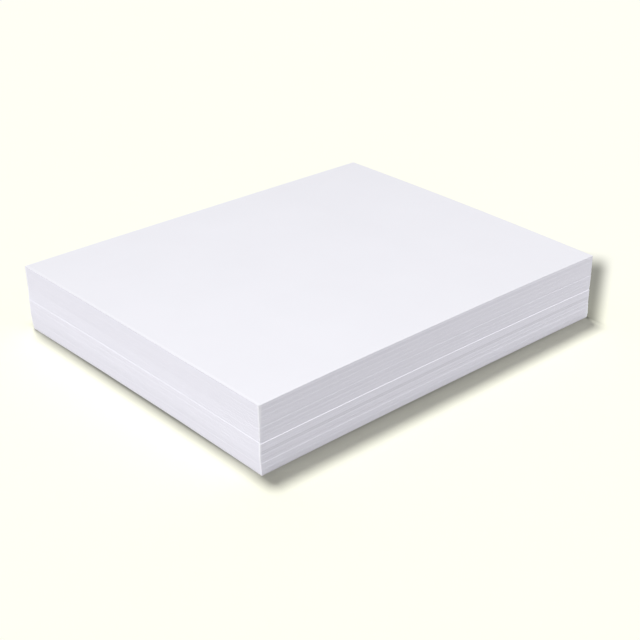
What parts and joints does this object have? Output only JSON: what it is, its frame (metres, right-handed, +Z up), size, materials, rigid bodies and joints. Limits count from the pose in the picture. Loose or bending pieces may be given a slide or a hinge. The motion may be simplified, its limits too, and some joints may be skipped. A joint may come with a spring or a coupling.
{
  "type": "ream of paper",
  "caption": "Unwrapped ream of plain white letter-size paper: a low, slightly uneven stack of loose sheets with square corners and ribbed cut edges.",
  "frame": {"origin": "middle of the face that the ream rests on, under the middle of its bounding box", "axes": "+X along the long edge of the sheets, +Y along the short edge, +Z up through the thickness of the stack"},
  "size_m": [0.2817, 0.2177, 0.043],
  "materials": {
    "paper": "uncoated, matt"
  },
  "bodies": {
    "root": {"bottom_lift": "paper", "lower_lift": "paper", "proud_lift": "paper", "middle_lift": "paper", "top_lift": "paper"}
  },
  "joints": []
}
